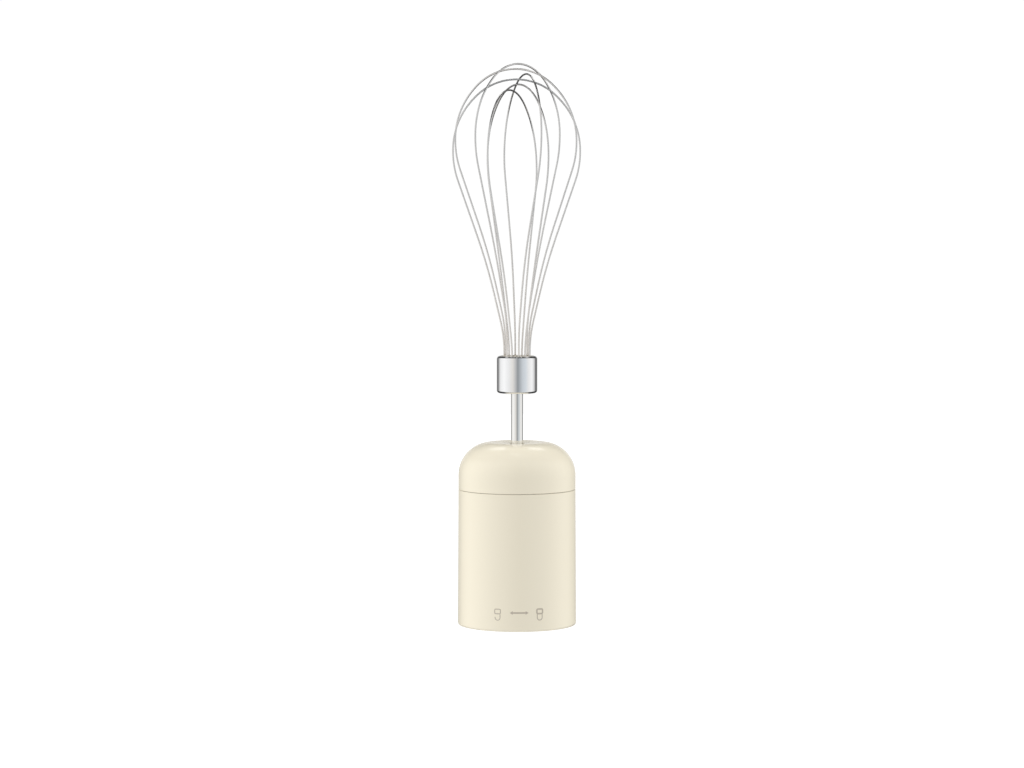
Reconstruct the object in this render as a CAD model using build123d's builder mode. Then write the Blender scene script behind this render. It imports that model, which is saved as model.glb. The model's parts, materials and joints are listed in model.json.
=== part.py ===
"""Whisk attachment of an immersion blender: a twist-lock gearbox coupling that carries a balloon whisk.

The part stands on the rim of its coupling with the whisk upwards. The origin is the centre of that rim,
+Z runs along the axis to the tip of the whisk, and -Y is the side with the lock marks. Millimetres.
"""

import os
from math import acos, atan2, cos, pi, radians, sin, tan

from build123d import *

os.makedirs("parts", exist_ok=True)

# ---------------------------------------------------------------- body, outside
RIM_R = 29.8  # outer radius of the body at its rim
SEAM_R = 29.45  # outer radius of the body at the seam and above it
SEAM_Z = 68.4  # height of the seam between sleeve and cap
SEAM_GAP = 0.16
SEAM_EDGE_R = 0.2  # rounding of both edges at the seam
RIM_EDGE_R = 1.2
BODY_TOP_Z = 92.0
SHOULDER_R = 16.4  # radius of the cap's rounded shoulder
TOP_DISH = 0.6  # depth of the cap's top at the shaft, below its edge
WALL = 2.3

# ---------------------------------------------------------------- whisk, outside
SHAFT_R = 3.0
SHAFT_END_Z = 57.0
SHAFT_TOP_Z = 130.3
FERRULE_R = 10.2
FERRULE_Z = (116.8, 135.4)
FERRULE_WALL = 0.7
FERRULE_EDGE_R = 1.5
FERRULE_MOUTH_R = 8.5

WIRE_R = 0.45
WIRE_COUNT = 12  # wire ends in the ferrule, two for each loop
WIRE_CIRCLE_R = 6.5  # circle of the wire holes in the ferrule
WIRE_FOOT_Z = 119.8
FIRST_HOLE_ANGLE = 8  # degrees, where the first of the wire holes is

# ---------------------------------------------------------------- fits
PRESS_GAP = 0.02  # on the radius of a seat that is bonded or pressed
BUSH_GAP = 0.03  # on the radius of a shaft in its bush
RUNNING_GAP = 0.05  # on the radius of a loose running fit
SCREW_GAP = 0.1  # on the radius of a screw's clearance hole

# ---------------------------------------------------------------- gears
MODULE = 0.7
PRESSURE_ANGLE = radians(20)
SUN_TEETH, PLANET_TEETH, RING_TEETH = 12, 24, 60
PLANETS = 3
STUB_ADDENDUM = 0.8  # in modules
DEDENDUM = 1.1  # in modules
BACKLASH = 0.08  # taken off each tooth's thickness

# ---------------------------------------------------------------- heights inside the body
SHELF_Z = (36.0, 38.0)
FLOOR_Z = (38.0, 41.0)
RING_Z = (41.0, 52.0)
SUN_Z = (41.7, 51.0)
SUN_WASHER_Z = (41.05, 41.65)
PLANET_Z = (43.8, 50.8)
LOWER_PLATE_Z = (42.0, 43.5)
UPPER_PLATE_Z = (51.1, 54.1)
HUB_WASHER_Z = (54.15, 54.85)
BOSS_Z = 54.9  # lower end of the cap's bearing tube
LOWER_BUSH_Z = (BOSS_Z, 61.9)
CLIP_Z = 70.0
TOP_WEB_Z = BODY_TOP_Z - 4.0  # underside of the cap's top round the shaft
SEAL_Z = (TOP_WEB_Z - 2.1, TOP_WEB_Z - 0.1)
HUB_TOP_Z = TOP_WEB_Z - 0.8
CIRCLIP_Z = TOP_WEB_Z - 3.1  # lower side of the circlip's groove
UPPER_BUSH_Z = (TOP_WEB_Z - 9.3, TOP_WEB_Z - 3.3)
INPUT_BUSH_Z = (34.0, FLOOR_Z[1])
INPUT_SHAFT_Z = 29.3  # lower end of the input shaft

# ---------------------------------------------------------------- radii inside the body
SLEEVE_SOCKET_R = 27.6
SLEEVE_GEARBOX_R = 27.25
SHELF_R = 20.5  # opening in the sleeve's shelf
CARTRIDGE_R = 27.15  # floor and ring gear
SPIGOT_R = (25.2, 27.1)
HUB_R = 5.0
BUSH_SEAT_R = 7.5
BEARING_TUBE_R = 9.5
INPUT_BUSH_R = 5.5
CARRIER_R = 18.0
SUN_BORE_R = 2.0
PIN_R = 1.5
PLANET_CIRCLE_R = MODULE * (SUN_TEETH + PLANET_TEETH) / 2

# ---------------------------------------------------------------- fasteners
SCREW_COUNT = 3
SCREW_R = 1.5
SCREW_CIRCLE_R = 24.6
SCREW_ANGLE = 90
SCREW_TOP_Z = 62.0
SCREW_HEAD_R = 2.5
SCREW_HEAD_HEIGHT = 1.9
PILLAR_TOP_Z = 75.0
STAKE_CIRCLE_R = 25.7  # of the posts that hold the bayonet ring to the shelf
STAKE_ANGLE = 30
STAKE_R = 1.0
POST_CIRCLE_R = 13.5  # of the posts between the carrier's plates
POST_ANGLE = 60
POST_SCREW_R = 1.0
POST_SCREW_LENGTH = 5.0  # above the lower plate


def save(builder, name):
    """Labels a finished sub-part and writes its STEP file."""
    builder.part.label = name
    export_step(builder.part, f"parts/{name}.step")


def tube(inner_r, outer_r, low_z, high_z):
    """A plain round tube."""
    with BuildPart() as body:
        with BuildSketch(Plane.XY.offset(low_z)):
            Circle(outer_r)
            Circle(inner_r, mode=Mode.SUBTRACT)
        extrude(amount=high_z - low_z)
    return body


def circles(builder):
    """The circular edges of a part under construction."""
    return builder.edges().filter_by(GeomType.CIRCLE)


# ---------------------------------------------------------------- gears


def polar(radius, angle):
    return (radius * cos(angle), radius * sin(angle))


def involute(angle):
    return tan(angle) - angle


def gear_outline(teeth, addendum, dedendum, thinning, first_tooth=0.0):
    """Closed outline of an external gear. addendum and dedendum are in modules, thinning in millimetres."""
    steps = 4  # of each flank's spline
    clear_of_base = 1.0005  # keeps the flank's first point off the base circle
    pitch_r = MODULE * teeth / 2
    base_r = pitch_r * cos(PRESSURE_ANGLE)
    tip_r = pitch_r + addendum * MODULE
    root_r = pitch_r - dedendum * MODULE
    start_r = max(base_r * clear_of_base, root_r)
    half_tooth = pi / (2 * teeth) - thinning / (2 * pitch_r)

    def flank_angle(radius):
        return half_tooth + involute(PRESSURE_ANGLE) - involute(acos(base_r / radius))

    stations = [start_r + (tip_r - start_r) * k / steps for k in range(steps + 1)]
    pitch = 2 * pi / teeth
    with BuildLine() as outline:
        for tooth in range(teeth):
            middle = first_tooth + tooth * pitch
            rising = [polar(r, middle - flank_angle(r)) for r in stations]
            falling = [polar(r, middle + flank_angle(r)) for r in reversed(stations)]
            if root_r < start_r:
                Line(polar(root_r, middle - flank_angle(start_r)), rising[0])
            Spline(rising)
            ThreePointArc(rising[-1], polar(tip_r, middle), falling[0])
            Spline(falling)
            if root_r < start_r:
                Line(falling[-1], polar(root_r, middle + flank_angle(start_r)))
            ThreePointArc(
                polar(root_r, middle + flank_angle(start_r)),
                polar(root_r, middle + pitch / 2),
                polar(root_r, middle + pitch - flank_angle(start_r)),
            )
    return outline.line


def spur_gear(teeth, bore_r, low_z, high_z, centre=(0, 0), first_tooth=0.0):
    """An external gear on an axis parallel to Z."""
    outline = gear_outline(teeth, STUB_ADDENDUM, DEDENDUM, BACKLASH, first_tooth)
    with BuildPart() as gear:
        with BuildSketch(Plane.XY.offset(low_z)):
            with Locations(centre):
                add(make_face(outline, mode=Mode.PRIVATE))
                Circle(bore_r, mode=Mode.SUBTRACT)
        extrude(amount=high_z - low_z)
    return gear


# ---------------------------------------------------------------- body shells


def housing_sleeve():
    """Lower body shell, open below for the motor's neck, with the shelf that carries the gearbox."""
    top_z = SEAM_Z - SEAM_GAP / 2
    stake_hole_r = STAKE_R + RUNNING_GAP
    with BuildPart() as sleeve:
        with BuildSketch(Plane.XZ):
            with BuildLine():
                Polyline(
                    (SLEEVE_SOCKET_R, 0),
                    (RIM_R, 0),
                    (SEAM_R, top_z),
                    (SLEEVE_GEARBOX_R, top_z),
                    (SLEEVE_GEARBOX_R, SHELF_Z[1]),
                    (SHELF_R, SHELF_Z[1]),
                    (SHELF_R, SHELF_Z[0]),
                    (SLEEVE_SOCKET_R, SHELF_Z[0]),
                    close=True,
                )
            make_face()
        revolve(axis=Axis.Z)
        fillet(circles(sleeve).group_by(Axis.Z)[0].sort_by(SortBy.RADIUS)[-1], RIM_EDGE_R)
        fillet(circles(sleeve).group_by(Axis.Z)[-1].sort_by(SortBy.RADIUS)[-1], SEAM_EDGE_R)
        with Locations(Plane.XY.offset(SHELF_Z[1])):
            with PolarLocations(SCREW_CIRCLE_R, SCREW_COUNT, SCREW_ANGLE):
                Hole(SCREW_R + SCREW_GAP, depth=SHELF_Z[1] - SHELF_Z[0])
            with PolarLocations(STAKE_CIRCLE_R, SCREW_COUNT, STAKE_ANGLE):
                Hole(stake_hole_r, depth=SHELF_Z[1] - SHELF_Z[0])
    return sleeve


def dome_cap():
    """Upper body shell: domed top, spigot into the sleeve, bearing tube and three screw pillars."""
    low_z = SEAM_Z + SEAM_GAP / 2
    shoulder_z = BODY_TOP_Z - SHOULDER_R
    flat_r = SEAM_R - SHOULDER_R
    inner_r = SEAM_R - WALL
    inner_top_z = BODY_TOP_Z - WALL
    spigot_low_z = SEAM_Z - 6.9
    taper = 2.0  # height over which the spigot's bore widens into the dome
    groove_z = (SEAM_Z - 3.9, SEAM_Z - 1.9)
    groove_r = 26.1
    mouth_z = BODY_TOP_Z - TOP_DISH
    mouth_r = 3.5
    mouth_edge_r = 0.4
    pillar_r = CARTRIDGE_R - SCREW_CIRCLE_R - RUNNING_GAP
    spare_thread = 0.5  # free depth beyond a screw's end
    outer_mid = polar(SHOULDER_R, pi / 4)
    inner_mid = polar(SHOULDER_R - WALL, pi / 4)
    with BuildPart() as cap:
        with BuildSketch(Plane.XZ):
            with BuildLine():
                Polyline(
                    (SPIGOT_R[1], low_z),
                    (SEAM_R, low_z),
                    (SEAM_R, shoulder_z),
                )
                ThreePointArc(
                    (SEAM_R, shoulder_z),
                    (flat_r + outer_mid[0], shoulder_z + outer_mid[1]),
                    (flat_r, BODY_TOP_Z),
                )
                Polyline(
                    (flat_r, BODY_TOP_Z),
                    (mouth_r, mouth_z),
                    (mouth_r, TOP_WEB_Z),
                    (BUSH_SEAT_R, TOP_WEB_Z),
                    (BUSH_SEAT_R, BOSS_Z),
                    (BEARING_TUBE_R, BOSS_Z),
                    (BEARING_TUBE_R, inner_top_z),
                    (flat_r, inner_top_z),
                )
                ThreePointArc(
                    (flat_r, inner_top_z),
                    (flat_r + inner_mid[0], shoulder_z + inner_mid[1]),
                    (inner_r, shoulder_z),
                )
                Polyline(
                    (inner_r, shoulder_z),
                    (SPIGOT_R[0], shoulder_z - taper),
                    (SPIGOT_R[0], spigot_low_z),
                    (SPIGOT_R[1], spigot_low_z),
                    (SPIGOT_R[1], low_z),
                )
            make_face()
        revolve(axis=Axis.Z)
        with BuildSketch(Plane.XY.offset(RING_Z[1])):
            with PolarLocations(SCREW_CIRCLE_R, SCREW_COUNT, SCREW_ANGLE):
                Circle(pillar_r)
        extrude(amount=PILLAR_TOP_Z - RING_Z[1])
        with BuildSketch(Plane.XY.offset(RING_Z[1])):
            with PolarLocations(SCREW_CIRCLE_R, SCREW_COUNT, SCREW_ANGLE):
                Circle(SCREW_R)
        extrude(amount=SCREW_TOP_Z + spare_thread - RING_Z[1], mode=Mode.SUBTRACT)
        with BuildSketch(Plane.XY.offset(groove_z[0])):
            Circle(SLEEVE_GEARBOX_R)
            Circle(groove_r, mode=Mode.SUBTRACT)
        extrude(amount=groove_z[1] - groove_z[0], mode=Mode.SUBTRACT)
        seam_edges = circles(cap).filter_by_position(Axis.Z, low_z, low_z)
        fillet(seam_edges.sort_by(SortBy.RADIUS)[-1], SEAM_EDGE_R)
        mouth_edges = circles(cap).filter_by_position(Axis.Z, mouth_z, mouth_z)
        fillet(mouth_edges.sort_by(SortBy.RADIUS)[0], mouth_edge_r)
    return cap


def seam_gasket():
    """Round silicone cord in the spigot's groove."""
    cord_r = 0.56
    with BuildPart() as gasket:
        with BuildSketch(Plane.XZ):
            with Locations((SLEEVE_GEARBOX_R - cord_r - 0.01, SEAM_Z - 2.9)):
                Circle(cord_r)
        revolve(axis=Axis.Z)
    return gasket


# ---------------------------------------------------------------- coupling to the motor


def sector(radius, start, end):
    """A pie slice of a circle, from angle start to end in degrees."""
    with BuildSketch() as pie:
        with BuildLine():
            middle = radians((start + end) / 2)
            Line((0, 0), polar(radius, radians(start)))
            ThreePointArc(polar(radius, radians(start)), polar(radius, middle), polar(radius, radians(end)))
            Line(polar(radius, radians(end)), (0, 0))
        make_face()
    return pie.sketch


def bayonet_ring():
    """Ring with three L-shaped channels that take the lugs of the motor's neck."""
    low_z, high_z = 1.2, 33.5
    step_z = 19.0
    outer_r, mouth_r, neck_r = 27.5, 25.0, 24.0
    lead_in = 0.8
    channel_r = 26.4
    channel_height = 5.0
    first_lug, lug_spacing = 90, 120
    lug_angle, turn_angle = 10, 42
    foot_r = STAKE_R + 0.25  # wider part of a stake, below the shelf
    with BuildPart() as ring:
        with BuildSketch(Plane.XZ):
            with BuildLine():
                Polyline(
                    (mouth_r + lead_in, low_z),
                    (outer_r, low_z),
                    (outer_r, high_z),
                    (neck_r, high_z),
                    (neck_r, step_z),
                    (mouth_r, step_z),
                    (mouth_r, low_z + lead_in),
                    close=True,
                )
            make_face()
        revolve(axis=Axis.Z)
        for start in range(first_lug, first_lug + 360, lug_spacing):
            entry = sector(channel_r, start - lug_angle / 2, start + lug_angle / 2)
            with BuildSketch(Plane.XY.offset(low_z)):
                add(entry)
            extrude(amount=step_z + channel_height - low_z, mode=Mode.SUBTRACT)
            lock = sector(channel_r, start - lug_angle / 2, start + lug_angle / 2 + turn_angle)
            with BuildSketch(Plane.XY.offset(step_z)):
                add(lock)
            extrude(amount=channel_height, mode=Mode.SUBTRACT)
        with BuildSketch(Plane.XY.offset(high_z)):
            with PolarLocations(STAKE_CIRCLE_R, SCREW_COUNT, STAKE_ANGLE):
                Circle(foot_r)
        extrude(amount=SHELF_Z[0] - high_z)
        with BuildSketch(Plane.XY.offset(SHELF_Z[0])):
            with PolarLocations(STAKE_CIRCLE_R, SCREW_COUNT, STAKE_ANGLE):
                Circle(STAKE_R)
        extrude(amount=SHELF_Z[1] - SHELF_Z[0])
    return ring


def drive_socket():
    """Hexagonal female socket that the motor's drive dog enters from below."""
    low_z, high_z = 20.6, 32.5
    outer_r = 6.5
    socket_depth = 8.6
    across_flats = 7.4
    lead_in = 0.6
    edge_r = 0.5
    flute_r, flute_margin = 0.8, 2.0
    with BuildPart() as socket:
        with BuildSketch(Plane.XY.offset(low_z)):
            Circle(outer_r)
        extrude(amount=high_z - low_z)
        with BuildSketch(Plane.XY.offset(low_z)):
            RegularPolygon(across_flats / 2, 6, major_radius=False)
        extrude(amount=socket_depth, mode=Mode.SUBTRACT)
        with BuildSketch(Plane.XY.offset(low_z)):
            Circle(SHAFT_R)
        extrude(amount=high_z - low_z, mode=Mode.SUBTRACT)
        chamfer(socket.faces().sort_by(Axis.Z)[0].inner_wires().edges(), lead_in)
        fillet(circles(socket).group_by(Axis.Z)[0].sort_by(SortBy.RADIUS)[-1], edge_r)
        with BuildSketch(Plane.XY.offset(low_z + flute_margin)):
            with PolarLocations(outer_r, 6, 30):
                Circle(flute_r)
        extrude(amount=high_z - low_z - 2 * flute_margin, mode=Mode.SUBTRACT)
    return socket


def input_shaft():
    """Steel shaft from the drive socket, through its bush, to the sun gear."""
    with BuildPart() as shaft:
        with BuildSketch(Plane.XY.offset(INPUT_SHAFT_Z)):
            Circle(SHAFT_R)
        extrude(amount=SUN_Z[0] - INPUT_SHAFT_Z)
        with BuildSketch(Plane.XY.offset(SUN_Z[0])):
            Circle(SUN_BORE_R)
        extrude(amount=SUN_Z[1] - SUN_Z[0])
        chamfer(circles(shaft).group_by(Axis.Z)[-1], 0.3)
    return shaft


# ---------------------------------------------------------------- gearbox


def gearbox_floor():
    """Plate on the sleeve's shelf that closes the gearbox and holds the input bush."""
    lip_r, boss_r = 4.2, 8.0
    boss_z = INPUT_BUSH_Z[0] - 1.0
    with BuildPart() as floor:
        with BuildSketch(Plane.XZ):
            with BuildLine():
                Polyline(
                    (lip_r, boss_z),
                    (boss_r, boss_z),
                    (boss_r, FLOOR_Z[0]),
                    (CARTRIDGE_R, FLOOR_Z[0]),
                    (CARTRIDGE_R, FLOOR_Z[1]),
                    (INPUT_BUSH_R, FLOOR_Z[1]),
                    (INPUT_BUSH_R, INPUT_BUSH_Z[0]),
                    (lip_r, INPUT_BUSH_Z[0]),
                    close=True,
                )
            make_face()
        revolve(axis=Axis.Z)
        with Locations(Plane.XY.offset(FLOOR_Z[1])):
            with PolarLocations(SCREW_CIRCLE_R, SCREW_COUNT, SCREW_ANGLE):
                Hole(SCREW_R + SCREW_GAP, depth=FLOOR_Z[1] - FLOOR_Z[0])
    return floor


def ring_gear():
    """Fixed internal gear, clamped between the floor and the cap's pillars."""
    half_pitch = pi / RING_TEETH
    spaces = gear_outline(RING_TEETH, DEDENDUM, STUB_ADDENDUM, -BACKLASH, half_pitch)
    with BuildPart() as ring:
        with BuildSketch(Plane.XY.offset(RING_Z[0])):
            Circle(CARTRIDGE_R)
            add(make_face(spaces, mode=Mode.PRIVATE), mode=Mode.SUBTRACT)
            with PolarLocations(SCREW_CIRCLE_R, SCREW_COUNT, SCREW_ANGLE):
                Circle(SCREW_R + SCREW_GAP, mode=Mode.SUBTRACT)
        extrude(amount=RING_Z[1] - RING_Z[0])
    return ring


def clamp_screws():
    """Three pan-head screws through shelf, floor and ring gear into the cap's pillars."""
    head_edge_r = 0.7
    slot_length, slot_width, slot_depth = 2.4, 0.5, 0.9
    with BuildPart() as screws:
        with BuildSketch(Plane.XY.offset(SHELF_Z[0])):
            with PolarLocations(SCREW_CIRCLE_R, SCREW_COUNT, SCREW_ANGLE):
                Circle(SCREW_R)
        extrude(amount=SCREW_TOP_Z - SHELF_Z[0])
        with BuildSketch(Plane.XY.offset(SHELF_Z[0])):
            with PolarLocations(SCREW_CIRCLE_R, SCREW_COUNT, SCREW_ANGLE):
                Circle(SCREW_HEAD_R)
        extrude(amount=-SCREW_HEAD_HEIGHT)
        fillet(circles(screws).group_by(Axis.Z)[0], head_edge_r)
        with BuildSketch(Plane.XY.offset(SHELF_Z[0] - SCREW_HEAD_HEIGHT)):
            with PolarLocations(SCREW_CIRCLE_R, SCREW_COUNT, SCREW_ANGLE):
                Rectangle(slot_length, slot_width)
                Rectangle(slot_width, slot_length)
        extrude(amount=slot_depth, mode=Mode.SUBTRACT)
    return screws


def planet_gear(index):
    """One planet, with a space turned to the sun's tooth."""
    angle = 2 * pi * index / PLANETS
    return spur_gear(
        PLANET_TEETH,
        PIN_R + RUNNING_GAP,
        *PLANET_Z,
        centre=polar(PLANET_CIRCLE_R, angle),
        first_tooth=pi / PLANET_TEETH,
    )


def planet_pins():
    """The three steel axles of the planets, pressed into both carrier plates."""
    with BuildPart() as pins:
        with BuildSketch(Plane.XY.offset(LOWER_PLATE_Z[0])):
            with PolarLocations(PLANET_CIRCLE_R, PLANETS):
                Circle(PIN_R)
        extrude(amount=UPPER_PLATE_Z[1] - LOWER_PLATE_Z[0])
    return pins


def carrier_plate():
    """Lower plate of the planet carrier."""
    sun_opening_r = 5.6
    hole_r, countersink_r = 1.1, 2.0
    with BuildPart() as plate:
        with BuildSketch(Plane.XY.offset(LOWER_PLATE_Z[0])):
            Circle(CARRIER_R)
            Circle(sun_opening_r, mode=Mode.SUBTRACT)
            with PolarLocations(PLANET_CIRCLE_R, PLANETS):
                Circle(PIN_R, mode=Mode.SUBTRACT)
        extrude(amount=LOWER_PLATE_Z[1] - LOWER_PLATE_Z[0])
        with Locations(Plane.XY.offset(LOWER_PLATE_Z[0]).rotated((180, 0, 0))):
            with PolarLocations(POST_CIRCLE_R, PLANETS, POST_ANGLE):
                CounterSinkHole(hole_r, countersink_r, depth=LOWER_PLATE_Z[1] - LOWER_PLATE_Z[0])
    return plate


def carrier_screws():
    """Three countersunk screws that hold the carrier's plates together."""
    head_r, head_height, sink = 1.85, 0.9, 0.1
    head_z = LOWER_PLATE_Z[0] + sink
    end_z = LOWER_PLATE_Z[1] + POST_SCREW_LENGTH
    with BuildPart() as screw:
        with BuildSketch(Plane.XZ):
            with BuildLine():
                Polyline(
                    (0, head_z),
                    (head_r, head_z),
                    (POST_SCREW_R, head_z + head_height),
                    (POST_SCREW_R, end_z),
                    (0, end_z),
                    close=True,
                )
            make_face()
        revolve(axis=Axis.Z)
    with BuildPart() as group:
        with PolarLocations(POST_CIRCLE_R, PLANETS, POST_ANGLE):
            add(screw.part)
    return group


def carrier_hub():
    """Upper carrier plate with its posts and the hollow hub that takes the whisk shaft."""
    post_r = 2.2
    screw_hole_depth = POST_SCREW_LENGTH + 1.0
    flat_bore = 2.43  # from the axis to each flat of the bore
    round_bore = SHAFT_R + BUSH_GAP
    flats_z = (56.5, 63.9)
    slot_x, slot_width, slot_length, slot_height = 4.0, 4.0, 9.8, 1.0
    groove_r, groove_width = 4.55, 0.7
    with BuildPart() as hub:
        with BuildSketch(Plane.XY.offset(UPPER_PLATE_Z[0])):
            Circle(CARRIER_R)
        extrude(amount=UPPER_PLATE_Z[1] - UPPER_PLATE_Z[0])
        with BuildSketch(Plane.XY.offset(UPPER_PLATE_Z[1])):
            Circle(HUB_R)
        extrude(amount=HUB_TOP_Z - UPPER_PLATE_Z[1])
        with BuildSketch(Plane.XY.offset(LOWER_PLATE_Z[1])):
            with PolarLocations(POST_CIRCLE_R, PLANETS, POST_ANGLE):
                Circle(post_r)
        extrude(amount=UPPER_PLATE_Z[0] - LOWER_PLATE_Z[1])
        with BuildSketch(Plane.XY.offset(LOWER_PLATE_Z[1])):
            with PolarLocations(POST_CIRCLE_R, PLANETS, POST_ANGLE):
                Circle(POST_SCREW_R)
        extrude(amount=screw_hole_depth, mode=Mode.SUBTRACT)
        with BuildSketch(Plane.XY.offset(UPPER_PLATE_Z[0])):
            with PolarLocations(PLANET_CIRCLE_R, PLANETS):
                Circle(PIN_R)
        extrude(amount=UPPER_PLATE_Z[1] - UPPER_PLATE_Z[0], mode=Mode.SUBTRACT)
        with BuildSketch(Plane.XY.offset(flats_z[0])):
            Circle(round_bore)
            Rectangle(2 * flat_bore, 3 * SHAFT_R, mode=Mode.INTERSECT)
        extrude(amount=flats_z[1] - flats_z[0], mode=Mode.SUBTRACT)
        with BuildSketch(Plane.XY.offset(flats_z[1])):
            Circle(round_bore)
        extrude(amount=HUB_TOP_Z - flats_z[1], mode=Mode.SUBTRACT)
        with BuildSketch(Plane.XY.offset(CLIP_Z - slot_height / 2)):
            with Locations((slot_x, 0), (-slot_x, 0)):
                Rectangle(slot_width, slot_length)
        extrude(amount=slot_height, mode=Mode.SUBTRACT)
        with BuildSketch(Plane.XY.offset(CIRCLIP_Z)):
            Circle(HUB_R)
            Circle(groove_r, mode=Mode.SUBTRACT)
        extrude(amount=groove_width, mode=Mode.SUBTRACT)
    return hub


def hub_circlip():
    """Open retaining ring that stops the hub from dropping through its bushes."""
    inner_r, outer_r, thickness = 4.6, 6.9, 0.6
    mouth_width, mouth_y, mouth_depth = 4.4, -6.0, 6.0
    with BuildPart() as ring:
        with BuildSketch(Plane.XY.offset(CIRCLIP_Z + 0.05)):
            Circle(outer_r)
            Circle(inner_r, mode=Mode.SUBTRACT)
            with Locations((0, mouth_y)):
                Rectangle(mouth_width, mouth_depth, mode=Mode.SUBTRACT)
        extrude(amount=thickness)
    return ring


def whisk_clip():
    """Hairpin spring in the hub's slots that snaps into the whisk shaft's groove."""
    leg_x, leg_end_y, bend_y, wire_r = 2.95, -4.4, 3.0, 0.4
    with BuildPart() as clip:
        with BuildLine(Plane.XY.offset(CLIP_Z)) as path:
            Line((leg_x, leg_end_y), (leg_x, bend_y))
            ThreePointArc((leg_x, bend_y), (0, bend_y + leg_x), (-leg_x, bend_y))
            Line((-leg_x, bend_y), (-leg_x, leg_end_y))
        with BuildSketch(Plane(origin=(leg_x, leg_end_y, CLIP_Z), z_dir=(0, 1, 0))):
            Circle(wire_r)
        sweep(path=path.line)
    return clip


# ---------------------------------------------------------------- whisk


def whisk_shaft():
    """Steel rod with two flats and a snap groove at its lower end."""
    end_chamfer = 0.5
    across_flats, flats_length = 4.8, 7.0
    groove_r, groove_width = 2.5, 1.2
    outside_r = SHAFT_R + 1
    with BuildPart() as shaft:
        with BuildSketch(Plane.XY.offset(SHAFT_END_Z)):
            Circle(SHAFT_R)
        extrude(amount=SHAFT_TOP_Z - SHAFT_END_Z)
        chamfer(circles(shaft).group_by(Axis.Z)[0], end_chamfer)
        with BuildSketch(Plane.XY.offset(SHAFT_END_Z)):
            Circle(outside_r)
            Rectangle(across_flats, 3 * SHAFT_R, mode=Mode.SUBTRACT)
        extrude(amount=flats_length, mode=Mode.SUBTRACT)
        with BuildSketch(Plane.XY.offset(CLIP_Z - groove_width / 2)):
            Circle(outside_r)
            Circle(groove_r, mode=Mode.SUBTRACT)
        extrude(amount=groove_width, mode=Mode.SUBTRACT)
    return shaft


def ferrule():
    """Polished collar, closed below round the shaft and rolled over the wire holder above."""
    low_z, high_z = FERRULE_Z
    inner_r = FERRULE_R - FERRULE_WALL
    bore_r = SHAFT_R + PRESS_GAP
    with BuildPart() as collar:
        with BuildSketch(Plane.XZ):
            with BuildLine():
                Polyline(
                    (bore_r, low_z),
                    (FERRULE_R, low_z),
                    (FERRULE_R, high_z),
                    (FERRULE_MOUTH_R, high_z),
                    (FERRULE_MOUTH_R, high_z - FERRULE_WALL),
                    (inner_r, high_z - FERRULE_WALL),
                    (inner_r, low_z + FERRULE_WALL),
                    (bore_r, low_z + FERRULE_WALL),
                    close=True,
                )
            make_face()
        revolve(axis=Axis.Z)
        for end in (0, -1):
            fillet(circles(collar).group_by(Axis.Z)[end].sort_by(SortBy.RADIUS)[-1], FERRULE_EDGE_R)
    return collar


def wire_holder():
    """Plug inside the ferrule with a hole for each wire end."""
    low_z, high_z = FERRULE_Z[0] + FERRULE_WALL, FERRULE_Z[1] - FERRULE_WALL
    edge_chamfer = 0.9
    hole_gap = 0.15
    with BuildPart() as holder:
        with BuildSketch(Plane.XY.offset(low_z)):
            Circle(FERRULE_R - FERRULE_WALL)
        extrude(amount=high_z - low_z)
        chamfer(circles(holder), edge_chamfer)
        with BuildSketch(Plane.XY.offset(low_z)):
            Circle(SHAFT_R + PRESS_GAP)
        extrude(amount=SHAFT_TOP_Z - low_z, mode=Mode.SUBTRACT)
        with BuildSketch(Plane.XY.offset(WIRE_FOOT_Z)):
            with PolarLocations(WIRE_CIRCLE_R, WIRE_COUNT, FIRST_HOLE_ANGLE):
                Circle(WIRE_R + hole_gap)
        extrude(amount=high_z - WIRE_FOOT_Z, mode=Mode.SUBTRACT)
    return holder


# The six loops share one shape and differ in height, turn and lean.
# Each row: hole angle, angle of the balloon part, height of the apex, sideways lean of the apex.
LOOPS = [
    (8, 5, 273.1, -0.3),
    (38, 48.5, 280.8, 0.9),
    (68, 67.6, 267.8, -3.6),
    (98, 106.5, 275.8, 4.4),
    (128, 118.4, 270.6, 0.4),
    (158, 161.5, 278.3, -1.2),
]
BALLOON_HALF_WIDTH = 31.9
WIDEST_DEPTH = 35.4  # depths are measured down from the loop's apex
NECK_BEND_DEPTH = 92.0
FLANK_ANGLE = radians(19.1)  # from the axis, between the belly and the neck bend
NECK_ANGLE = radians(13.2)  # from the axis, between the neck bend and the ferrule
TOP_R = 29.5
BELLY_R = 45.0
NECK_BEND_R = 290.0
ROOT_BEND_R = 65.0
BEND_SHARE = 0.97  # leaves a trace of straight wire between neighbouring bends
LEAN_POWER = 1.5  # the lean grows faster towards the apex


def loop_corners(apex_z):
    """Corners of half a loop's control outline as (distance from axis, height), and their bend radii."""
    widest_z = apex_z - WIDEST_DEPTH
    rise = WIDEST_DEPTH - TOP_R
    overhang = BALLOON_HALF_WIDTH - TOP_R
    side_r = (BALLOON_HALF_WIDTH**2 + rise**2 - TOP_R**2) / (2 * overhang)
    side_turn = atan2(rise, side_r - BALLOON_HALF_WIDTH)

    belly = (BALLOON_HALF_WIDTH, widest_z - BELLY_R * tan(FLANK_ANGLE / 2))
    side = (BALLOON_HALF_WIDTH, widest_z + side_r * tan(side_turn / 2))
    top = (0, apex_z - TOP_R + TOP_R / sin(side_turn))
    neck_z = apex_z - NECK_BEND_DEPTH
    neck = (BALLOON_HALF_WIDTH - (belly[1] - neck_z) * tan(FLANK_ANGLE), neck_z)
    root = (WIRE_CIRCLE_R, neck_z - (neck[0] - WIRE_CIRCLE_R) / tan(NECK_ANGLE))
    foot = (WIRE_CIRCLE_R, WIRE_FOOT_Z)
    radii = [ROOT_BEND_R, NECK_BEND_R, BELLY_R * BEND_SHARE, side_r * BEND_SHARE]
    return [foot, root, neck, belly, side], top, radii


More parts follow.
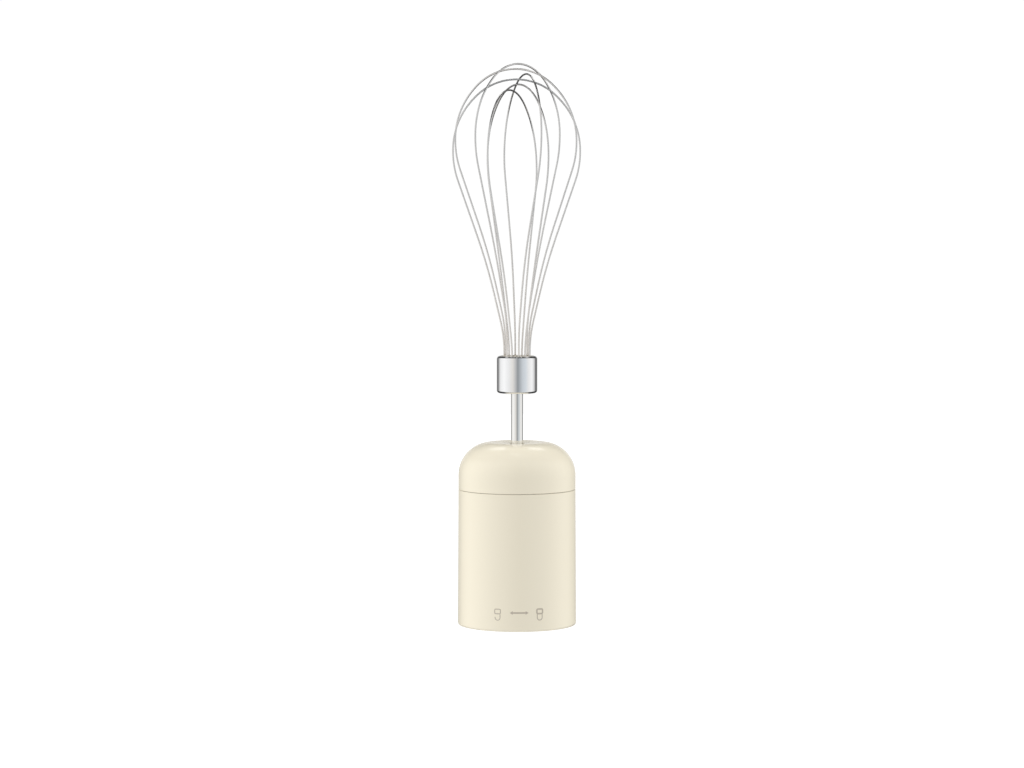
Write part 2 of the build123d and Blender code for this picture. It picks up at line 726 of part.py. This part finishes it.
def whisk_wire(hole_angle, balloon_angle, apex_z, lean):
    """One spring-steel wire bent to a loop, with both ends in the wire holder."""
    half, top, radii = loop_corners(apex_z)
    root_z, belly_z = half[1][1], half[3][1]

    def placed(corner, side):
        radius, z = corner
        turned = min(1, max(0, (z - root_z) / (belly_z - root_z)))
        angle = radians(hole_angle + (balloon_angle - hole_angle) * turned)
        leaning = lean * max(0, (z - root_z) / (apex_z - root_z)) ** LEAN_POWER
        return (side * radius * cos(angle) + leaning, side * radius * sin(angle), z)

    rising = [placed(corner, 1) for corner in half]
    falling = [placed(corner, -1) for corner in reversed(half)]
    with BuildPart() as wire:
        with BuildLine() as path:
            FilletPolyline(
                *rising,
                placed(top, 1),
                *falling,
                radius=radii + [TOP_R * BEND_SHARE] + radii[::-1],
            )
        with BuildSketch(Plane.XY.offset(WIRE_FOOT_Z)):
            with Locations(rising[0][:2]):
                Circle(WIRE_R)
        sweep(path=path.line)
    length = sum(edge.length for edge in path.edges())
    print("wire length", round(length, 1), "volume ratio", round(wire.part.volume / (pi * WIRE_R**2 * length), 4))
    return wire


# ---------------------------------------------------------------- build everything

save(housing_sleeve(), "housing_sleeve")
save(dome_cap(), "dome_cap")
save(seam_gasket(), "seam_gasket")
save(bayonet_ring(), "bayonet_ring")
save(gearbox_floor(), "gearbox_floor")
save(ring_gear(), "ring_gear")
save(clamp_screws(), "clamp_screws")
save(tube(SHAFT_R + BUSH_GAP, INPUT_BUSH_R, *INPUT_BUSH_Z), "input_bush")
save(tube(HUB_R + BUSH_GAP, BUSH_SEAT_R, *LOWER_BUSH_Z), "lower_hub_bush")
save(tube(HUB_R + BUSH_GAP, BUSH_SEAT_R, *UPPER_BUSH_Z), "upper_hub_bush")
save(tube(HUB_R + RUNNING_GAP, BUSH_SEAT_R, *SEAL_Z), "shaft_seal")

save(drive_socket(), "drive_socket")
save(input_shaft(), "input_shaft")
save(spur_gear(SUN_TEETH, SUN_BORE_R, *SUN_Z), "sun_gear")
save(tube(SHAFT_R + RUNNING_GAP, INPUT_BUSH_R - 0.3, *SUN_WASHER_Z), "sun_washer")

for number in range(1, PLANETS + 1):
    save(planet_gear(number - 1), f"planet_gear_{number}")
save(planet_pins(), "planet_pins")
save(carrier_plate(), "carrier_plate")
save(carrier_screws(), "carrier_screws")
save(carrier_hub(), "carrier_hub")
save(tube(HUB_R + RUNNING_GAP, BUSH_SEAT_R + 0.5, *HUB_WASHER_Z), "hub_washer")
save(hub_circlip(), "hub_circlip")
save(whisk_clip(), "whisk_clip")

save(whisk_shaft(), "whisk_shaft")
save(ferrule(), "ferrule")
save(wire_holder(), "wire_holder")
for number, loop in enumerate(LOOPS, start=1):
    save(whisk_wire(*loop), f"whisk_wire_{number}")
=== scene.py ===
"""Looks and studio for the whisk attachment of an immersion blender.

The shapes are the frame's own. This script gives every piece its material, prints the lock marks
beside the rim, and sets up the camera, the floor and the light. Lengths are in metres.
"""

import json
from math import atan2, cos, hypot, pi, radians, sin

import bmesh
import bpy
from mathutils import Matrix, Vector


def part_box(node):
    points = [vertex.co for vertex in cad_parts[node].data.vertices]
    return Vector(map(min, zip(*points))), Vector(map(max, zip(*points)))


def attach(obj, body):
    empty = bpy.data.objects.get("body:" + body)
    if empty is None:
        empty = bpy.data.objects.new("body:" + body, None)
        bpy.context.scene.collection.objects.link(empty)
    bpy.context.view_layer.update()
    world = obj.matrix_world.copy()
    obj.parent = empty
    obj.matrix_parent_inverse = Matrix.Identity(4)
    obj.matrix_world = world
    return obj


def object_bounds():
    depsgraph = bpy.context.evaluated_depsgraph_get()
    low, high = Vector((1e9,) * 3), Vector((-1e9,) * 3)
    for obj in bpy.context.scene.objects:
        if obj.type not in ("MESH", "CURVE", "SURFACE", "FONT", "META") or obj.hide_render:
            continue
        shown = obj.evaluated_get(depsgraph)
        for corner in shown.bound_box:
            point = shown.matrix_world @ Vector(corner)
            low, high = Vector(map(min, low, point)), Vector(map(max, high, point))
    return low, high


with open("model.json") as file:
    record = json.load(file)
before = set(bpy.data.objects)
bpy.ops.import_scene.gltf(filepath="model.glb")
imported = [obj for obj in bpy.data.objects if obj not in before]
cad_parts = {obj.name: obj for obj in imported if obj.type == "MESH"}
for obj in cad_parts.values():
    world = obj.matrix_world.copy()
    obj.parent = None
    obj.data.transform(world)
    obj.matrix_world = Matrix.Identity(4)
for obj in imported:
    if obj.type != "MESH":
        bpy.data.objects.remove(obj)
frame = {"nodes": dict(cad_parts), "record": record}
cad_low, cad_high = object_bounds()

MM = 0.001

# ---------------------------------------------------------------- camera

CAMERA_DISTANCE = 1.642
CAMERA_HEIGHT = 0.2303
CAMERA_SIDE = -0.00252
CAMERA_TILT = 3.80  # degrees below the horizon
CAMERA_LENS = 115.3  # millimetres, like the sensor
CAMERA_SENSOR = 36.0


def make_camera():
    data = bpy.data.cameras.new("camera")
    data.lens = CAMERA_LENS
    data.sensor_width = CAMERA_SENSOR
    data.clip_start = 0.05
    data.clip_end = 20.0
    camera = bpy.data.objects.new("camera", data)
    camera.location = (CAMERA_SIDE, -CAMERA_DISTANCE, CAMERA_HEIGHT)
    camera.rotation_euler = (radians(90 - CAMERA_TILT), 0, 0)
    bpy.context.collection.objects.link(camera)
    bpy.context.scene.camera = camera


make_camera()

# ---------------------------------------------------------------- node helpers


class Nodes:
    """A node tree under construction, with short names for the nodes used again and again."""

    def __init__(self, tree):
        self.tree = tree

    def new(self, kind, **settings):
        node = self.tree.nodes.new(kind)
        for name, value in settings.items():
            setattr(node, name, value)
        return node

    def link(self, output, socket):
        self.tree.links.new(output, socket)

    def feed(self, socket, value):
        """Gives a socket a number or an (r, g, b), or links an output to it."""
        if isinstance(value, (int, float)):
            socket.default_value = value
        elif isinstance(value, tuple):
            socket.default_value = (*value, 1.0)
        else:
            self.link(value, socket)

    def axes(self, vector):
        """The X, Y and Z outputs of a vector."""
        split = self.new("ShaderNodeSeparateXYZ")
        self.link(vector, split.inputs["Vector"])
        return [split.outputs[axis] for axis in "XYZ"]

    def math(self, operation, first, second):
        node = self.new("ShaderNodeMath", operation=operation)
        self.feed(node.inputs[0], first)
        self.feed(node.inputs[1], second)
        return node.outputs["Value"]

    def spread(self, value, low, high, start=0.3, stop=0.7, interpolation="LINEAR"):
        """A value from start to stop turned into a number from low to high."""
        node = self.new("ShaderNodeMapRange", interpolation_type=interpolation)
        for name, number in zip(("From Min", "From Max", "To Min", "To Max"), (start, stop, low, high)):
            node.inputs[name].default_value = number
        self.link(value, node.inputs["Value"])
        return node.outputs["Result"]

    def blend(self, factor, first, second):
        """A mix of two colours, each a colour output or an (r, g, b)."""
        node = self.new("ShaderNodeMix", data_type="RGBA")
        self.feed(node.inputs["A"], first)
        self.feed(node.inputs["B"], second)
        self.link(factor, node.inputs["Factor"])
        return node.outputs["Result"]

    def ramp(self, value, stops):
        """A value between 0 and 1 turned into a colour. stops holds (position, colour)."""
        node = self.new("ShaderNodeValToRGB")
        elements = node.color_ramp.elements
        while len(elements) < len(stops):
            elements.new(0.5)
        for element, (position, colour) in zip(elements, stops):
            element.position = position
            element.color = (*colour, 1.0)
        self.link(value, node.inputs["Fac"])
        return node.outputs["Color"]


class Surface(Nodes):
    """A Principled material under construction."""

    def __init__(self, name, metallic=0.0, coat=0.0, coat_roughness=0.03, specular=0.5):
        self.material = bpy.data.materials.new(name)
        self.material.use_nodes = True
        super().__init__(self.material.node_tree)
        self.shader = self.tree.nodes["Principled BSDF"]
        self.shader.inputs["Metallic"].default_value = metallic
        self.shader.inputs["Specular IOR Level"].default_value = specular
        self.shader.inputs["Coat Weight"].default_value = coat
        self.shader.inputs["Coat Roughness"].default_value = coat_roughness
        self.place = self.new("ShaderNodeTexCoord").outputs["Object"]

    def stretched(self, scale):
        """Object coordinates multiplied by a scale for each axis."""
        mapping = self.new("ShaderNodeMapping")
        mapping.inputs["Scale"].default_value = scale
        self.link(self.place, mapping.inputs["Vector"])
        return mapping.outputs["Vector"]

    def height(self):
        """Height above the rim."""
        return self.axes(self.place)[2]

    def noise(self, scale, detail=3.0, roughness=0.55, vector=None):
        """Soft noise. scale is roughly how many spots it has to the metre."""
        node = self.new("ShaderNodeTexNoise")
        node.inputs["Scale"].default_value = scale
        node.inputs["Detail"].default_value = detail
        node.inputs["Roughness"].default_value = roughness
        self.link(vector or self.place, node.inputs["Vector"])
        return node.outputs["Fac"]

    def tool_marks(self, along, around):
        """Noise as a lathe or a die leaves it: rings round the Z axis, or lines along it.

        along is its scale to the metre of height, and around its scale to the radian.
        """
        x, y, z = self.axes(self.place)
        join = self.new("ShaderNodeCombineXYZ")
        self.link(self.math("MULTIPLY", self.math("ARCTAN2", y, x), around), join.inputs["X"])
        self.link(self.math("MULTIPLY", z, along), join.inputs["Z"])
        return self.noise(1.0, roughness=0.6, vector=join.outputs["Vector"])

    def cells(self, scale):
        """Packed grains: the distance from the middle of the nearest one."""
        node = self.new("ShaderNodeTexVoronoi")
        node.inputs["Scale"].default_value = scale
        self.link(self.place, node.inputs["Vector"])
        return node.outputs["Distance"]

    def tones(self, value, first, second, start=0.3, stop=0.7):
        """A noise value turned into a colour, which goes from first to second between start and stop."""
        return self.ramp(value, [(start, first), (stop, second)])

    def colour(self, output):
        self.link(output, self.shader.inputs["Base Color"])

    def rough(self, output):
        self.link(output, self.shader.inputs["Roughness"])

    def bump(self, height, depth, strength=1.0):
        """Relief of the given depth in metres."""
        node = self.new("ShaderNodeBump")
        node.inputs["Distance"].default_value = depth
        node.inputs["Strength"].default_value = strength
        self.link(height, node.inputs["Height"])
        self.link(node.outputs["Normal"], self.shader.inputs["Normal"])


# ---------------------------------------------------------------- materials


def cream_plastic():
    """Polished moulded shell: warm cream with a faint flow of tone and a trace of orange peel."""
    s = Surface("cream_plastic", coat=0.22, coat_roughness=0.07, specular=0.37)
    flow = s.noise(9, detail=1, vector=s.stretched((1, 1, 0.25)))
    s.colour(s.tones(flow, (0.850, 0.787, 0.632), (0.862, 0.801, 0.650), start=0.2, stop=0.8))
    s.rough(s.spread(s.noise(60, detail=2), 0.23, 0.26))
    s.bump(s.noise(260, detail=1), 0.0015 * MM)
    return s.material


def satin_moulding(name, light, dark, roughness=(0.38, 0.55), grain=3000):
    """Unpolished moulded plastic with an eroded-mould grain."""
    s = Surface(name)
    s.colour(s.tones(s.noise(60), dark, light))
    s.rough(s.spread(s.noise(500, detail=4), *roughness))
    s.bump(s.noise(grain), 0.006 * MM)
    return s.material


def inner_plastic():
    light, dark = (0.66, 0.63, 0.55), (0.61, 0.58, 0.50)
    return satin_moulding("inner_plastic", light, dark)


def gear_plastic():
    light, dark = (0.80, 0.79, 0.73), (0.75, 0.73, 0.66)
    return satin_moulding("gear_plastic", light, dark, roughness=(0.28, 0.42), grain=1800)


def drive_plastic():
    light, dark = (0.020, 0.020, 0.022), (0.012, 0.012, 0.013)
    return satin_moulding("drive_plastic", light, dark, roughness=(0.30, 0.45), grain=2400)


def carrier_plastic():
    """Glass-filled nylon: short fibres show as pale flecks in the dark grey."""
    s = Surface("carrier_plastic")
    fibres = s.noise(900, detail=2, vector=s.stretched((1, 6, 2)))
    flecks = s.spread(fibres, 0, 0.5, start=0.62, stop=0.75)
    base = s.tones(s.noise(90), (0.075, 0.078, 0.085), (0.105, 0.108, 0.116))
    s.colour(s.blend(flecks, base, (0.30, 0.30, 0.30)))
    s.rough(s.spread(s.noise(800, detail=4), 0.45, 0.65))
    s.bump(fibres, 0.008 * MM)
    return s.material


def seal_rubber():
    """Grey silicone with a bloom of fine dust, tinted warm and light as painted bounce light from the
    cream shells round it.
    """
    s = Surface("seal_rubber")
    dust = s.noise(1500, detail=4)
    # The warm, light tint is painted bounce light from the cream shells. The spread between the two
    # tones is dust.
    s.colour(s.tones(dust, (0.34, 0.315, 0.28), (0.42, 0.39, 0.35), start=0.35, stop=0.75))
    s.rough(s.spread(dust, 0.55, 0.8))
    s.bump(s.noise(3500, detail=2), 0.01 * MM)
    return s.material


def bush_bronze():
    """Sintered bronze: pressed grains with dark pores."""
    s = Surface("bush_bronze", metallic=1.0)
    grains = s.cells(2200)
    pores = s.spread(grains, 0, 0.7, start=0.35, stop=0.6)
    metal = s.tones(s.noise(300), (0.50, 0.30, 0.14), (0.62, 0.40, 0.20))
    s.colour(s.blend(pores, metal, (0.12, 0.07, 0.03)))
    s.rough(s.spread(s.noise(1200), 0.34, 0.52))
    s.bump(grains, 0.012 * MM, strength=0.5)
    return s.material


def screw_steel():
    """Zinc plating: a cloudy bluish white metal."""
    s = Surface("screw_steel", metallic=1.0)
    cloud = s.noise(700, detail=4)
    s.colour(s.tones(cloud, (0.52, 0.54, 0.58), (0.66, 0.67, 0.69)))
    s.rough(s.spread(cloud, 0.26, 0.42))
    s.bump(s.noise(4000, detail=2), 0.004 * MM)
    return s.material


def spring_steel():
    """Dull drawn spring wire and stampings, a shade darker than the rest."""
    s = Surface("spring_steel", metallic=1.0)
    s.colour(s.tones(s.noise(400), (0.36, 0.37, 0.40), (0.48, 0.48, 0.50)))
    s.rough(s.spread(s.noise(1500), 0.25, 0.38))
    s.bump(s.noise(3000, detail=2), 0.002 * MM)
    return s.material


def ground_steel():
    """Steel ground to size, with fine rings round the axis."""
    s = Surface("ground_steel", metallic=1.0)
    rings = s.tool_marks(along=9000, around=1.5)
    s.colour(s.tones(s.noise(120), (0.54, 0.54, 0.56), (0.60, 0.60, 0.62)))
    s.rough(s.spread(rings, 0.18, 0.30))
    s.bump(rings, 0.002 * MM)
    return s.material


def polished_steel():
    """The collar: buffed almost to a mirror, with the faintest polishing lines round it."""
    s = Surface("polished_steel", metallic=1.0)
    rings = s.tool_marks(along=5200, around=2.0)
    s.colour(s.tones(s.noise(70, detail=2), (0.89, 0.893, 0.90), (0.92, 0.922, 0.926)))
    s.rough(s.spread(rings, 0.03, 0.07))
    s.bump(rings, 0.0003 * MM)
    return s.material


def shaft_steel():
    """The rod: drawn and polished, with faint lines along it, and a slight warmth in its colour that is
    a painted warm reflection.
    """
    s = Surface("shaft_steel", metallic=1.0)
    lines = s.tool_marks(along=60, around=9.0)
    # The colour's slight warmth is a painted warm reflection.
    s.colour(s.tones(s.noise(90, detail=2), (0.86, 0.853, 0.83), (0.90, 0.893, 0.87)))
    s.rough(s.spread(lines, 0.02, 0.05))
    s.bump(lines, 0.0004 * MM)
    return s.material


PAINTED_HIGHLIGHT_FADE = (150 * MM, 215 * MM)  # the painted warm highlight near the collar fades out between these heights


def wire_steel():
    """Drawn stainless wire with drawing marks and slight toning, and a lighter, warmer colour near the
    collar that is a painted warm highlight.
    """
    s = Surface("wire_steel", metallic=1.0)
    toning = s.noise(45)
    plain = s.tones(toning, (0.735, 0.722, 0.71), (0.795, 0.782, 0.77))
    # Painted warm highlight: the wire is coloured lighter and warmer near the collar.
    painted_highlight = s.tones(toning, (0.85, 0.81, 0.765), (0.90, 0.86, 0.82))
    s.colour(s.blend(s.spread(s.height(), 0, 1, *PAINTED_HIGHLIGHT_FADE), painted_highlight, plain))
    s.rough(s.spread(s.noise(1400, vector=s.stretched((1, 1, 0.15))), 0.12, 0.22))
    s.bump(s.noise(2600, detail=2, vector=s.stretched((1, 1, 0.08))), 0.001 * MM)
    return s.material


def mark_ink():
    """Pad-printed warm grey ink, a little thin in places."""
    s = Surface("mark_ink")
    cover = s.noise(3200)
    s.colour(s.tones(cover, (0.46, 0.405, 0.33), (0.54, 0.48, 0.395), start=0.35))
    s.rough(s.spread(cover, 0.38, 0.52))
    s.bump(cover, 0.003 * MM)
    return s.material


FINISHES = {
    "cream_plastic": cream_plastic(),
    "inner_plastic": inner_plastic(),
    "gear_plastic": gear_plastic(),
    "carrier_plastic": carrier_plastic(),
    "drive_plastic": drive_plastic(),
    "seal_rubber": seal_rubber(),
    "bush_bronze": bush_bronze(),
    "screw_steel": screw_steel(),
    "ground_steel": ground_steel(),
    "spring_steel": spring_steel(),
    "polished_steel": polished_steel(),
    "wire_steel": wire_steel(),
}
SPECIAL_FINISHES = {"whisk_shaft": shaft_steel()}


def dress_nodes():
    """Gives every CAD node the finish of its slot, or its own."""
    slots = {part["node"]: part["material_slot"] for part in frame["record"]["subparts"]}
    for name, thing in frame["nodes"].items():
        finish = SPECIAL_FINISHES.get(name) or FINISHES[slots[name]]
        for slot in thing.material_slots:
            slot.material = finish


dress_nodes()

# ---------------------------------------------------------------- printed marks

INK_DEPTH = 0.03 * MM
MARK_HEIGHT = 8.6 * MM  # of the middle of the padlocks, above the rim
OPEN_ANGLE = -19.0  # degrees from -Y towards +X
CLOSED_ANGLE = 22.2
ARROW_ANGLE = 2.0
ARROW_HEIGHT = 9.6 * MM
SLEEVE_LOW, SLEEVE_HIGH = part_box("housing_sleeve")
CAP_LOW, CAP_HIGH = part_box("dome_cap")
RIM_R = (SLEEVE_HIGH.x - SLEEVE_LOW.x) / 2
SEAM_R = (CAP_HIGH.x - CAP_LOW.x) / 2
INK = mark_ink()


def on_sleeve(across, height, angle, lift):
    """A point of a mark: across and height are measured on the tapered sleeve's skin."""
    radius = RIM_R + (SEAM_R - RIM_R) * height / SLEEVE_HIGH.z + lift
    turn = radians(angle) + across / radius
    return Vector((radius * sin(turn), -radius * cos(turn), height))


def arc(centre_x, centre_y, radius, start, end, steps):
    """Points on an arc, with angles in degrees."""
    angles = [radians(start + (end - start) * k / steps) for k in range(steps + 1)]
    return [(centre_x + radius * cos(a), centre_y + radius * sin(a)) for a in angles]


def dense(points, step=0.25 * MM):
    """The same line with extra points, so that it bends with the sleeve."""
    out = [points[0]]
    for (x0, y0), (x1, y1) in zip(points, points[1:]):
        count = max(1, round(hypot(x1 - x0, y1 - y0) / step))
        out += [(x0 + (x1 - x0) * k / count, y0 + (y1 - y0) * k / count) for k in range(1, count + 1)]
    return out


def ribbon(points, width, closed=False):
    """Quads of a line drawn with a pen of the given width."""
    count = len(points)
    sides = []
    for k, (x, y) in enumerate(points):
        before = points[(k - 1) % count] if closed or k else points[k]
        after = points[(k + 1) % count] if closed or k < count - 1 else points[k]
        heading = atan2(after[1] - before[1], after[0] - before[0])
        dx = -sin(heading) * width / 2
        dy = cos(heading) * width / 2
        sides.append(((x + dx, y + dy), (x - dx, y - dy)))
    following = sides[1:] + sides[:1] if closed else sides[1:]
    return [(a[0], b[0], b[1], a[1]) for a, b in zip(sides, following)]


def print_mark(name, angle, height, patches):
    """Turns flat patches into a thin layer of ink on the sleeve."""
    shape = bmesh.new()
    for patch in patches:
        top = [shape.verts.new(on_sleeve(x, height + y, angle, INK_DEPTH)) for x, y in patch]
        bottom = [shape.verts.new(on_sleeve(x, height + y, angle, -INK_DEPTH)) for x, y in patch]
        shape.faces.new(top)
        shape.faces.new(bottom[::-1])
        for k in range(len(patch)):
            following = (k + 1) % len(patch)
            shape.faces.new((top[k], bottom[k], bottom[following], top[following]))
    bmesh.ops.remove_doubles(shape, verts=shape.verts, dist=0.001 * MM)
    # The walls between neighbouring patches are inside the ink.
    inner = [face for face in shape.faces if all(len(edge.link_faces) > 2 for edge in face.edges)]
    bmesh.ops.delete(shape, geom=inner, context="FACES_ONLY")
    bmesh.ops.recalc_face_normals(shape, faces=shape.faces)
    mesh = bpy.data.meshes.new(name)
    shape.to_mesh(mesh)
    shape.free()
    mesh.materials.append(INK)
    piece = bpy.data.objects.new(name, mesh)
    bpy.context.collection.objects.link(piece)
    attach(piece, "housing")


def rounded_box(half_width, low, high, corner_r):
    """Closed outline of a box with round corners. Its last point is its first again."""
    corners = [
        (half_width - corner_r, high - corner_r, 0),
        (-half_width + corner_r, high - corner_r, 90),
        (-half_width + corner_r, low + corner_r, 180),
        (half_width - corner_r, low + corner_r, 270),
    ]
    outline = []
    for x, y, start in corners:
        outline += arc(x, y, corner_r, start, start + 90, steps=6)
    return outline + outline[:1]


def padlock(is_open):
    """A plain padlock, hanging upside down: body above, shackle below, with its middle near (0, 0)."""
    body_half_width = 1.50 * MM
    body_low = 0.40 * MM
    body_high = 2.70 * MM
    body_corner_r = 0.55 * MM
    body_stroke = 0.46 * MM if is_open else 0.74 * MM
    shackle_r = 1.30 * MM
    shackle_stroke = 0.40 * MM if is_open else 0.46 * MM
    bend_y = -1.50 * MM
    root_y = body_low - body_stroke / 2
    free_end = 0.35 * MM
    far_end_y = bend_y + free_end if is_open else root_y
    body = rounded_box(body_half_width, body_low, body_high, body_corner_r)
    bend = arc(0, bend_y, shackle_r, 0, -180, steps=16)
    shackle = [(shackle_r, root_y), *bend, (-shackle_r, far_end_y)]
    return ribbon(dense(body)[:-1], body_stroke, closed=True) + ribbon(dense(shackle), shackle_stroke)


def double_arrow():
    """A plain bar with a blunt arrow head at each end, which shows which way to turn."""
    half_length = 4.7 * MM
    head = 1.5 * MM
    half_head = 0.90 * MM
    stroke = 0.72 * MM
    root = half_length - head
    patches = ribbon(dense([(-root, 0), (root, 0)]), stroke)
    for side in (-1, 1):
        patches.append(((side * half_length, 0), (side * root, half_head), (side * root, -half_head)))
    return patches


print_mark("unlock_mark", OPEN_ANGLE, MARK_HEIGHT, padlock(is_open=True))
print_mark("lock_mark", CLOSED_ANGLE, MARK_HEIGHT, padlock(is_open=False))
print_mark("turn_mark", ARROW_ANGLE, ARROW_HEIGHT, double_arrow())

# ---------------------------------------------------------------- floor

FLOOR_R = 1.4
FLOOR_GAP = 0.2 * MM  # below the rim
FLOOR_GREY = 0.30
FLOOR_GLOW = 0.86


def make_floor():
    """A pale round table top that glows evenly. The object neither mirrors it nor is lit by it."""
    bpy.ops.mesh.primitive_circle_add(
        vertices=128, radius=FLOOR_R, fill_type="NGON", location=(0, 0, -FLOOR_GAP)
    )
    floor = bpy.context.object
    floor.name = "floor"
    material = bpy.data.materials.new("floor")
    material.use_nodes = True
    shader = material.node_tree.nodes["Principled BSDF"]
    shader.inputs["Base Color"].default_value = (FLOOR_GREY, FLOOR_GREY, FLOOR_GREY, 1)
    shader.inputs["Roughness"].default_value = 0.8
    shader.inputs["Emission Color"].default_value = (1, 1, 1, 1)
    shader.inputs["Emission Strength"].default_value = FLOOR_GLOW
    floor.data.materials.append(material)
    floor.visible_glossy = False
    floor.visible_diffuse = False


make_floor()

# ---------------------------------------------------------------- light

NEUTRAL = (1.0, 1.0, 1.0)
WARM = (1.03, 1.0, 0.96)
COOL = (0.94, 1.0, 1.055)

# A light tent's walls are listed as (degrees from the camera's side towards +X, brightness, tint).

# What polish mirrors: a dim gap at the camera, a bright wall on each side, dark flags behind them,
# and a pale wall at the back.
MIRRORED_WALLS = [
    (-180, 0.80, NEUTRAL),
    (-164, 0.66, NEUTRAL),
    (-150, 0.14, NEUTRAL),
    (-136, 0.18, NEUTRAL),
    (-108, 0.92, NEUTRAL),
    (-78, 1.05, NEUTRAL),
    (-48, 0.91, NEUTRAL),
    (-24, 0.78, WARM),
    (-10, 0.58, NEUTRAL),
    (4, 0.33, COOL),
    (15, 0.46, COOL),
    (32, 0.66, COOL),
    (50, 0.75, COOL),
    (70, 0.88, NEUTRAL),
    (94, 1.00, NEUTRAL),
    (112, 0.72, NEUTRAL),
    (132, 0.13, NEUTRAL),
    (149, 0.12, NEUTRAL),
    (164, 0.66, NEUTRAL),
    (180, 0.80, NEUTRAL),
]

# The roof and the table are mirrored dark. Each fades in between two heights of the ray, and both come
# nearer to the horizon at the back.
DARK_ROOF = 0.05
DARK_TABLE = 0.06
ROOF_EDGE = (0.56, 0.76)
TABLE_EDGE = (0.46, 0.66)
DARK_LEAN = 0.45  # how much of the ray's reach to the back is added to its height

# Lamps that polish mirrors: (degrees round, degrees up, radius in degrees, brightness). Each one's edge
# fades out between two shares of its radius.
LAMPS = [
    (0, 89, 4, 3.0),
    (163, 51, 8, 2.6),
    (-163, 51, 8, 2.6),
]
LAMP_EDGE = (0.6, 1.4)

# The soft light that the walls throw: the camera's side is dim and both sides are bright.
SOFT_WALLS = [
    (-180, 0.75, NEUTRAL),
    (-125, 0.94, NEUTRAL),
    (-95, 1.27, NEUTRAL),
    (-68, 1.48, NEUTRAL),
    (-40, 1.33, NEUTRAL),
    (-20, 0.93, NEUTRAL),
    (5, 0.16, NEUTRAL),
    (25, 0.71, NEUTRAL),
    (45, 0.86, NEUTRAL),
    (82, 1.62, NEUTRAL),
    (104, 1.52, NEUTRAL),
    (130, 1.05, NEUTRAL),
    (180, 0.75, NEUTRAL),
]
SOFT_ROOF = 1.42
SOFT_ROOF_EDGE = (0.60, 1.00)

BACKDROP = 1.02  # the brightness that the camera sees behind the object


def direction(azimuth, elevation):
    """Unit vector to a place in the tent, from degrees round from the camera's side and degrees up."""
    turn, rise = radians(azimuth), radians(elevation)
    return Vector((sin(turn) * cos(rise), -cos(turn) * cos(rise), sin(rise)))


def grey(level):
    """The colour that has this level in red, green and blue alike."""
    return (level, level, level)


class Tent(Nodes):
    """The world's nodes: a light tent round the object, seen along each ray's direction."""

    def __init__(self, world):
        super().__init__(world.node_tree)
        self.tree.nodes.clear()
        self.ray = self.new("ShaderNodeTexCoord").outputs["Generated"]
        x, self.y, self.z = self.axes(self.ray)
        azimuth = self.math("ARCTAN2", x, self.math("MULTIPLY", self.y, -1.0))
        self.turn = self.math("ADD", self.math("MULTIPLY", azimuth, 1 / (2 * pi)), 0.5)

    def fade(self, value, start, stop):
        """0 below start and 1 above stop, smooth between."""
        return self.spread(value, 0, 1, start, stop, interpolation="SMOOTHSTEP")

    def walls(self, stops):
        """The walls' colour, which depends only on how far round the ray points."""
        colours = [
            (degrees / 360 + 0.5, tuple(level * part for part in tint)) for degrees, level, tint in stops
        ]
        return self.ramp(self.turn, colours)

    def with_lamp(self, base, azimuth, elevation, radius, level):
        """The base colour with a round lamp in front of it."""
        away = self.new("ShaderNodeVectorMath", operation="DISTANCE")
        self.link(self.ray, away.inputs[0])
        away.inputs[1].default_value = direction(azimuth, elevation)
        inside, outside = (radians(radius) * share for share in LAMP_EDGE)
        spot = self.math("SUBTRACT", 1.0, self.fade(away.outputs["Value"], inside, outside))
        return self.blend(spot, base, grey(level))

    def mirrored(self):
        """What polish mirrors: walls between a dark roof and a dark table, and the lamps."""
        lean = self.math("MULTIPLY", self.y, DARK_LEAN)
        up = self.math("ADD", self.z, lean)
        down = self.math("ADD", self.math("MULTIPLY", self.z, -1.0), lean)
        colour = self.blend(self.fade(up, *ROOF_EDGE), self.walls(MIRRORED_WALLS), grey(DARK_ROOF))
        colour = self.blend(self.fade(down, *TABLE_EDGE), colour, grey(DARK_TABLE))
        for lamp in LAMPS:
            colour = self.with_lamp(colour, *lamp)
        return colour

    def soft(self):
        """What lights the matt surfaces: walls below a pale roof."""
        return self.blend(self.fade(self.z, *SOFT_ROOF_EDGE), self.walls(SOFT_WALLS), grey(SOFT_ROOF))


def make_world():
    """Puts the object in the tent. The camera itself sees plain white."""
    world = bpy.data.worlds.new("tent")
    bpy.context.scene.world = world
    world.use_nodes = True
    tent = Tent(world)
    path = tent.new("ShaderNodeLightPath")
    felt = tent.blend(path.outputs["Is Diffuse Ray"], tent.mirrored(), tent.soft())
    seen = tent.blend(path.outputs["Is Camera Ray"], felt, grey(BACKDROP))
    background = tent.new("ShaderNodeBackground")
    tent.link(seen, background.inputs["Color"])
    output = tent.new("ShaderNodeOutputWorld")
    tent.link(background.outputs["Background"], output.inputs["Surface"])


# Two weak area lights, one on each side.
SOFTBOX_ELEVATION = 18
SOFTBOX_DISTANCE = 1.3
SOFTBOX_SIZE = 0.9


def softbox(name, azimuth, power):
    """A square area light that points at the middle of the object and isn't seen in reflections."""
    data = bpy.data.lights.new(name, "AREA")
    data.size = SOFTBOX_SIZE
    data.energy = power
    lamp = bpy.data.objects.new(name, data)
    away = direction(azimuth, SOFTBOX_ELEVATION)
    lamp.location = (cad_low + cad_high) / 2 + away * SOFTBOX_DISTANCE
    lamp.rotation_euler = away.to_track_quat("Z", "Y").to_euler()
    lamp.visible_glossy = False
    lamp.visible_camera = False
    bpy.context.collection.objects.link(lamp)


make_world()
softbox("left_softbox", azimuth=-78, power=0.6)
softbox("right_softbox", azimuth=80, power=0.4)

view = bpy.context.scene.view_settings
view.view_transform = "Standard"
view.look = "None"
